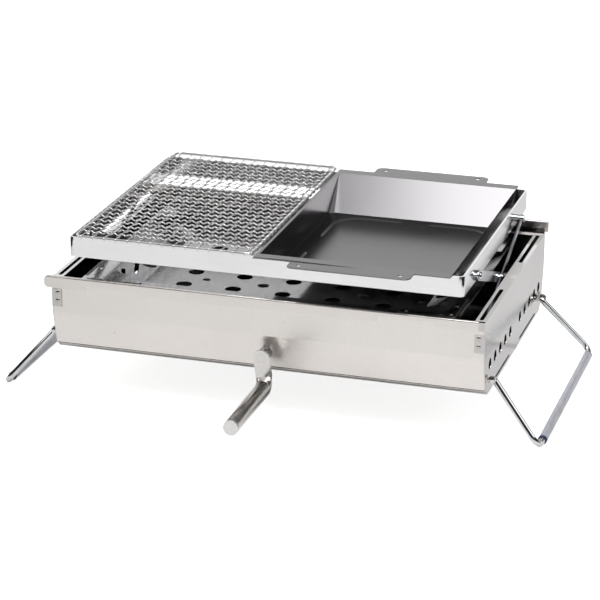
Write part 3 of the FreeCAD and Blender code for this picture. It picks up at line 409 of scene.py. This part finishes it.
def make_weave():
    """Crimped wires woven over and under each other, their ends hooked round the rim wire."""
    low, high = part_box("grate_ring")
    ring_radius = (high.z - low.z) / 2
    ring_z = (high.z + low.z) / 2
    x0, x1 = low.x + ring_radius, high.x - ring_radius
    y0, y1 = low.y + ring_radius, high.y - ring_radius
    middle = ((x0 + x1) / 2, (y0 + y1) / 2)
    reach = ring_radius + WIRE_RADIUS * 0.8
    built = bmesh.new()

    def add_wire(start, end, centre, crest, place):
        """One wire from rim to rim; place turns (distance, height) into a point."""
        points = [(start - math.sin(a) * reach, ring_z + math.cos(a) * reach) for a in HOOK[::-1]]
        run = end - start - 2 * reach
        count = int(run / MESH_PITCH * CRIMPS_PER_CELL * POINTS_PER_CRIMP)
        for k in range(count + 1):
            t = start + reach + run * k / count
            near_rim = min(1, (t - start - reach) / MESH_PITCH * 2, (end - reach - t) / MESH_PITCH * 2)
            lift = (1 - near_rim) * reach * 0.55
            crimp = crest * math.cos(2 * math.pi * CRIMPS_PER_CELL * (t - centre) / MESH_PITCH)
            points.append((t, ring_z + lift + crimp * (0.35 + 0.65 * near_rim)))
        points += [(end + math.sin(a) * reach, ring_z + math.cos(a) * reach) for a in HOOK]
        sweep(built, [place(t, z) for t, z in points], WIRE_RADIUS)

    for i in range(LONG_WIRES):
        row = i - (LONG_WIRES - 1) // 2
        y = middle[1] + row * MESH_PITCH
        crest = LONG_CREST if row % 2 else -LONG_CREST
        add_wire(x0, x1, middle[0], crest, lambda t, z: Vector((t, y, z)))
    for i in range(CROSS_WIRES):
        column = i - (CROSS_WIRES - 1) // 2
        x = middle[0] + column * MESH_PITCH
        crest = -CROSS_CREST if column % 2 else CROSS_CREST
        add_wire(y0, y1, middle[1], crest, lambda t, z: Vector((x, t, z)))
    return smooth_mesh(built, "woven_wires")


new_piece("woven_wires", make_weave(), "mesh_grate", MESH_CHROME, "mesh_chrome",
          "grate_long_wires", "grate_cross_wires")


# ---------------------------------------------------------------- griddle pan
PAN = {
    "x": (-5.0, 255.5), "flange_left": 4.0, "flange_y": 206.0, "mouth_y": 189.0, "floor_y": 143.0,
    "floor_z": 125.0, "top_z": 171.0, "sheet": 1.5, "tab_half": 83.0, "tab_reach": 25.0, "tab_corner": 10.0,
    "hole_radius": 3.5, "hole_from_end": 15.0, "corner_fold": 6.0,
}
BEAD = {"x": (12.0, 238.5), "y": 128.0, "corner": 40.0, "half_width": 3.0, "height": 1.1,
        "gap_x": 20.0, "gap_y": 36.0, "run_out": 4.0}
BEAD_OFFSETS = [0.6 * k for k in range(-7, 8)]    # loops across the bead and a little past it


def rounded_loop(centre, half_x, half_y, radius, per_side=48, per_corner=14):
    """Points round a rounded rectangle, anticlockwise, with the same count for every size."""
    loop = []
    corners = ((1, -1, -90), (1, 1, 0), (-1, 1, 90), (-1, -1, 180))
    for i, (sx, sy, start) in enumerate(corners):
        cx, cy = centre[0] + sx * (half_x - radius), centre[1] + sy * (half_y - radius)
        for k in range(per_corner + 1):
            angle = math.radians(start + 90 * k / per_corner)
            loop.append((cx + radius * math.cos(angle), cy + radius * math.sin(angle)))
        nx, ny, following = corners[(i + 1) % 4]
        first = loop[-1]
        angle = math.radians(following)
        last = (centre[0] + nx * (half_x - radius) + radius * math.cos(angle),
                centre[1] + ny * (half_y - radius) + radius * math.sin(angle))
        for k in range(1, per_side):
            t = k / per_side
            loop.append((first[0] + (last[0] - first[0]) * t, first[1] + (last[1] - first[1]) * t))
    return loop


def smooth_step(value):
    value = min(1, max(0, value))
    return value * value * (3 - 2 * value)


def bead_presence(x, y, middle):
    """1 where the pressed bead stands and 0 in the gaps half way along each side."""
    along_x = smooth_step((abs(x - middle) - BEAD["gap_x"]) / BEAD["run_out"])
    along_y = smooth_step((abs(y) - BEAD["gap_y"]) / BEAD["run_out"])
    on_front_or_rear = abs(y) > BEAD["y"] - 5
    return along_x if on_front_or_rear else along_y


def make_griddle():
    """Pan pressed and folded from one sheet, with a pressed bead round its floor."""
    x0, x1 = PAN["x"]
    middle = (x0 + x1) / 2
    bead_middle = (sum(BEAD["x"]) / 2, 0)
    bead_half_x = (BEAD["x"][1] - BEAD["x"][0]) / 2
    built = bmesh.new()

    def add_loop(points):
        return [built.verts.new(Vector(p) * MM) for p in points]

    def bridge(inner, outer):
        for k in range(len(inner)):
            after = (k + 1) % len(inner)
            built.faces.new((inner[k], outer[k], outer[after], inner[after]))

    def fill(groups):
        """Flat sheet inside the first loop and outside the others."""
        every = [v for group in groups for v in group]
        for triangle in tessellate_polygon([[v.co for v in group] for group in groups]):
            built.faces.new([every[i] for i in triangle])

    loops = []
    for offset in BEAD_OFFSETS:
        flat = rounded_loop(bead_middle, bead_half_x + offset, BEAD["y"] + offset, BEAD["corner"] + offset)
        swell = BEAD["height"] * (1 + math.cos(math.pi * min(1, abs(offset) / BEAD["half_width"]))) / 2
        loops.append(add_loop([(x, y, PAN["floor_z"] + swell * bead_presence(x, y, bead_middle[0]))
                               for x, y in flat]))
    built.faces.new(loops[0])
    for inner, outer in zip(loops, loops[1:]):
        bridge(inner, outer)

    # the floor runs out to the folds, with a small folded triangle in each corner
    fy, my, fold = PAN["floor_y"], PAN["mouth_y"], PAN["corner_fold"]
    floor_edge = add_loop([(x, y, PAN["floor_z"]) for x, y in (
        (x1 - fold, -fy), (x1, -fy + fold), (x1, fy - fold), (x1 - fold, fy),
        (x0 + fold, fy), (x0, fy - fold), (x0, -fy + fold), (x0 + fold, -fy))])
    fill([floor_edge, loops[-1]])
    mouth = add_loop([(x, y, PAN["top_z"]) for x, y in ((x1, -my), (x1, my), (x0, my), (x0, -my))])
    for i, top in enumerate(mouth):
        built.faces.new((floor_edge[2 * i], floor_edge[2 * i + 1], top))
        after = (i + 1) % 4
        built.faces.new((floor_edge[2 * i + 1], floor_edge[(2 * i + 2) % 8], mouth[after], top))

    # flange and tabs: round three sides of the mouth, from the right-hand end back to it
    flange, reach = PAN["flange_y"], PAN["flange_y"] + PAN["tab_reach"]
    half, corner = PAN["tab_half"], PAN["tab_corner"]
    near = [(x1, flange), (middle + half + 2, flange), (middle + half, flange + 2)]
    for degrees in range(0, 91, 15):
        angle = math.radians(degrees)
        near.append((middle + half - corner * (1 - math.cos(angle)), reach - corner * (1 - math.sin(angle))))
    rear = near + [(2 * middle - x, y) for x, y in near[:0:-1]] + [(x0 - PAN["flange_left"], flange)]
    outline = [(x, -y) for x, y in rear] + [(x, y) for x, y in rear[::-1]]
    outer = add_loop([(x, y, PAN["top_z"]) for x, y in outline])
    radius, sides = PAN["hole_radius"], 20
    turns = [2 * math.pi * k / sides for k in range(sides)]
    holes = []
    for side_y in (-1, 1):
        for side_x in (-1, 1):
            cx = middle + side_x * (half - PAN["hole_from_end"])
            cy = side_y * (flange + PAN["tab_reach"] / 2)
            circle = [(cx + radius * math.cos(a), cy + radius * math.sin(a), PAN["top_z"]) for a in turns]
            holes.append(add_loop(circle))
    fill([outer + mouth[1:] + mouth[:1]] + holes)
    bmesh.ops.recalc_face_normals(built, faces=built.faces)
    faces_down = sum(face.normal.z * face.calc_area() for face in built.faces) < 0
    if faces_down:
        bmesh.ops.reverse_faces(built, faces=built.faces)
    data = to_mesh(built, "griddle")
    data.set_sharp_from_angle(angle=math.radians(25))
    return data


griddle = new_piece("griddle", make_griddle(), "griddle", GRIDDLE, "griddle_enamel", "griddle_pan")
sheet = griddle.modifiers.new("sheet", "SOLIDIFY")
sheet.thickness = PAN["sheet"] * MM
sheet.offset = -1
sheet.use_even_offset = True
folds = griddle.modifiers.new("folds", "BEVEL")
folds.width = 0.8 * MM
folds.segments = 3
folds.limit_method = "ANGLE"
folds.angle_limit = math.radians(35)
folds.harden_normals = True


# ---------------------------------------------------------------- foot sleeves
def make_sleeve(node):
    """Soft clear tube on the foot wire, a little uneven along its length, with a dark end ring."""
    low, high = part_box(node)
    centre_x, centre_z = (low.x + high.x) / 2, (low.z + high.z) / 2
    outer = (high.x - low.x) / 2
    bore = 4.3 * MM
    ring_length = 2.2 * MM
    middle_run = high.y - low.y - 2 * ring_length
    end = [(0, bore), (0, outer - 0.5 * MM), (0.4 * MM, outer), (ring_length, outer),
           (ring_length + 0.3 * MM, outer - 0.35 * MM)]
    profile = [(low.y + from_end, radius) for from_end, radius in end]
    steps = 60
    for k in range(1, steps):
        swell = 0.12 * MM * math.sin(k * 0.9) * math.sin(k * 0.23)
        profile.append((low.y + ring_length + middle_run * k / steps, outer - 0.25 * MM + swell))
    profile += [(high.y - from_end, radius) for from_end, radius in end[::-1]]
    sides = 28
    turns = [2 * math.pi * k / sides for k in range(sides)]
    built = bmesh.new()
    rings = []
    for y, radius in profile:
        rings.append([built.verts.new((centre_x + radius * math.cos(a), y, centre_z + radius * math.sin(a)))
                      for a in turns])
    rings.append(rings[0])
    for first, second in zip(rings, rings[1:]):
        for k in range(sides):
            after = (k + 1) % sides
            face = built.faces.new((first[k], first[after], second[after], second[k]))
            middle_y = face.calc_center_median().y
            at_end = middle_y < low.y + ring_length or middle_y > high.y - ring_length
            face.material_index = 1 if at_end else 0
    return smooth_mesh(built, node)


for side in ("right", "left"):
    node = side + "_foot_sleeve"
    sleeve = new_piece(side + "_sleeve", make_sleeve(node), side + "_leg", SLEEVE, "sleeve_plastic", node)
    sleeve.data.materials.append(SLEEVE_END)


# ---------------------------------------------------------------- stage, light and camera
GROUND = cad_low.z


def stage_piece(name, corners, material):
    """A part of the studio made of flat four-cornered cards."""
    data = bpy.data.meshes.new(name)
    data.from_pydata(corners, [], [range(k, k + 4) for k in range(0, len(corners), 4)])
    data.materials.append(material)
    piece = bpy.data.objects.new(name, data)
    bpy.context.scene.collection.objects.link(piece)
    return piece


def make_floor():
    corners = [(x, y, GROUND) for x, y in ((-6, -6), (6, -6), (6, 9), (-6, 9))]
    stage_piece("floor", corners, floor_paint("floor_paint"))


def make_flags():
    """A dark card on each side, unseen itself, that draws a dark line down bright corners."""
    front, back, top = -0.7, 0.1, GROUND + 0.35
    card = ((front, GROUND), (back, GROUND), (back, top), (front, top))
    corners = [(x, y, z) for x in (-0.85, 0.85) for y, z in card]
    stage_piece("flags", corners, flag_cloth("flag_cloth")).visible_camera = False


def area_light(name, place, aim, size, power, colour=(1, 1, 1)):
    """A rectangular soft box at a place, facing another."""
    data = bpy.data.lights.new(name, "AREA")
    data.shape = "RECTANGLE"
    data.size, data.size_y = size
    data.energy = power
    data.color = colour
    lamp = bpy.data.objects.new(name, data)
    bpy.context.scene.collection.objects.link(lamp)
    lamp.location = place
    lamp.rotation_euler = (Vector(aim) - Vector(place)).to_track_quat("-Z", "Y").to_euler()


def make_world():
    """A pale studio: bright backdrop behind, darker to its right, a dim room towards the camera."""
    world = bpy.data.worlds.new("studio")
    bpy.context.scene.world = world
    world.use_nodes = True
    n = Nodes(world.node_tree)
    split = n.node("ShaderNodeSeparateXYZ")
    n.link(n.node("ShaderNodeTexCoord").outputs["Generated"], split.inputs[0])
    height = split.outputs["Z"]

    def ramp(source, *stops):
        return n.ramp(source, *stops, interpolation="EASE")

    def from_minus_one(source):
        """Bring a direction's part, from -1 to 1, into a ramp's 0 to 1."""
        return n.maths("MULTIPLY_ADD", source, 0.5, 0.5)

    back_left = ramp(height, (0.0, 1.0), (0.3, 0.95), (0.5, 0.65), (0.9, 0.2))
    back_right = ramp(height, (0.0, 1.0), (0.12, 0.6), (0.28, 0.04), (0.6, 0.04), (0.9, 0.3))
    back = n.mix(ramp(from_minus_one(split.outputs["X"]), (0.46, 0.0), (0.58, 1.0)), back_left, back_right)
    front = ramp(height, (0.0, 0.03), (0.62, 0.05), (0.85, 0.9), (1.0, 0.8))
    behind = ramp(from_minus_one(split.outputs["Y"]), (0.42, 0.0), (0.65, 1.0))
    sky = n.tree.nodes["Background"]
    n.feed(sky.inputs["Color"], n.mix(behind, front, back))
    n.feed(sky.inputs["Strength"], 1.0)


def make_camera(place, lens, yaw, pitch, roll):
    """Yaw turns the camera to the right about the object, pitch raises it; angles in degrees."""
    yaw, pitch, roll = (math.radians(a) for a in (yaw, pitch, roll))
    back = Vector((math.sin(yaw) * math.cos(pitch), -math.cos(yaw) * math.cos(pitch), math.sin(pitch)))
    right = Vector((math.cos(yaw), math.sin(yaw), 0))
    up = back.cross(right)
    rolled_right = right * math.cos(roll) + up * math.sin(roll)
    rolled_up = up * math.cos(roll) - right * math.sin(roll)
    data = bpy.data.cameras.new("camera")
    data.lens = lens
    data.sensor_width = 36
    data.clip_end = 50
    camera = bpy.data.objects.new("camera", data)
    bpy.context.scene.collection.objects.link(camera)
    camera.location = place
    camera.rotation_mode = "QUATERNION"
    camera.rotation_quaternion = Matrix((rolled_right, rolled_up, back)).transposed().to_quaternion()
    bpy.context.scene.camera = camera


make_floor()
make_flags()
make_world()
TOP, LEFT, RIGHT = (0.52, -0.6, 2.2), (-2.4, -1.2, 1.2), (2.6, 0.2, 1.3)
BELOW_TOP, OBJECT = (0.52, -0.6, 0), (0, 0, 0.1)
area_light("top_softbox", TOP, BELOW_TOP, size=(1.9, 1.0), power=31)
area_light("left_softbox", LEFT, OBJECT, size=(1.2, 1.6), power=14, colour=(1.0, 0.98, 0.95))
area_light("right_softbox", RIGHT, OBJECT, size=(1.2, 1.6), power=12, colour=(0.93, 0.96, 1.0))
make_camera((0.9295, -3.1013, 1.2231), lens=148.08, yaw=16.797, pitch=20.06, roll=0.268)
bpy.context.scene.view_settings.view_transform = "Standard"
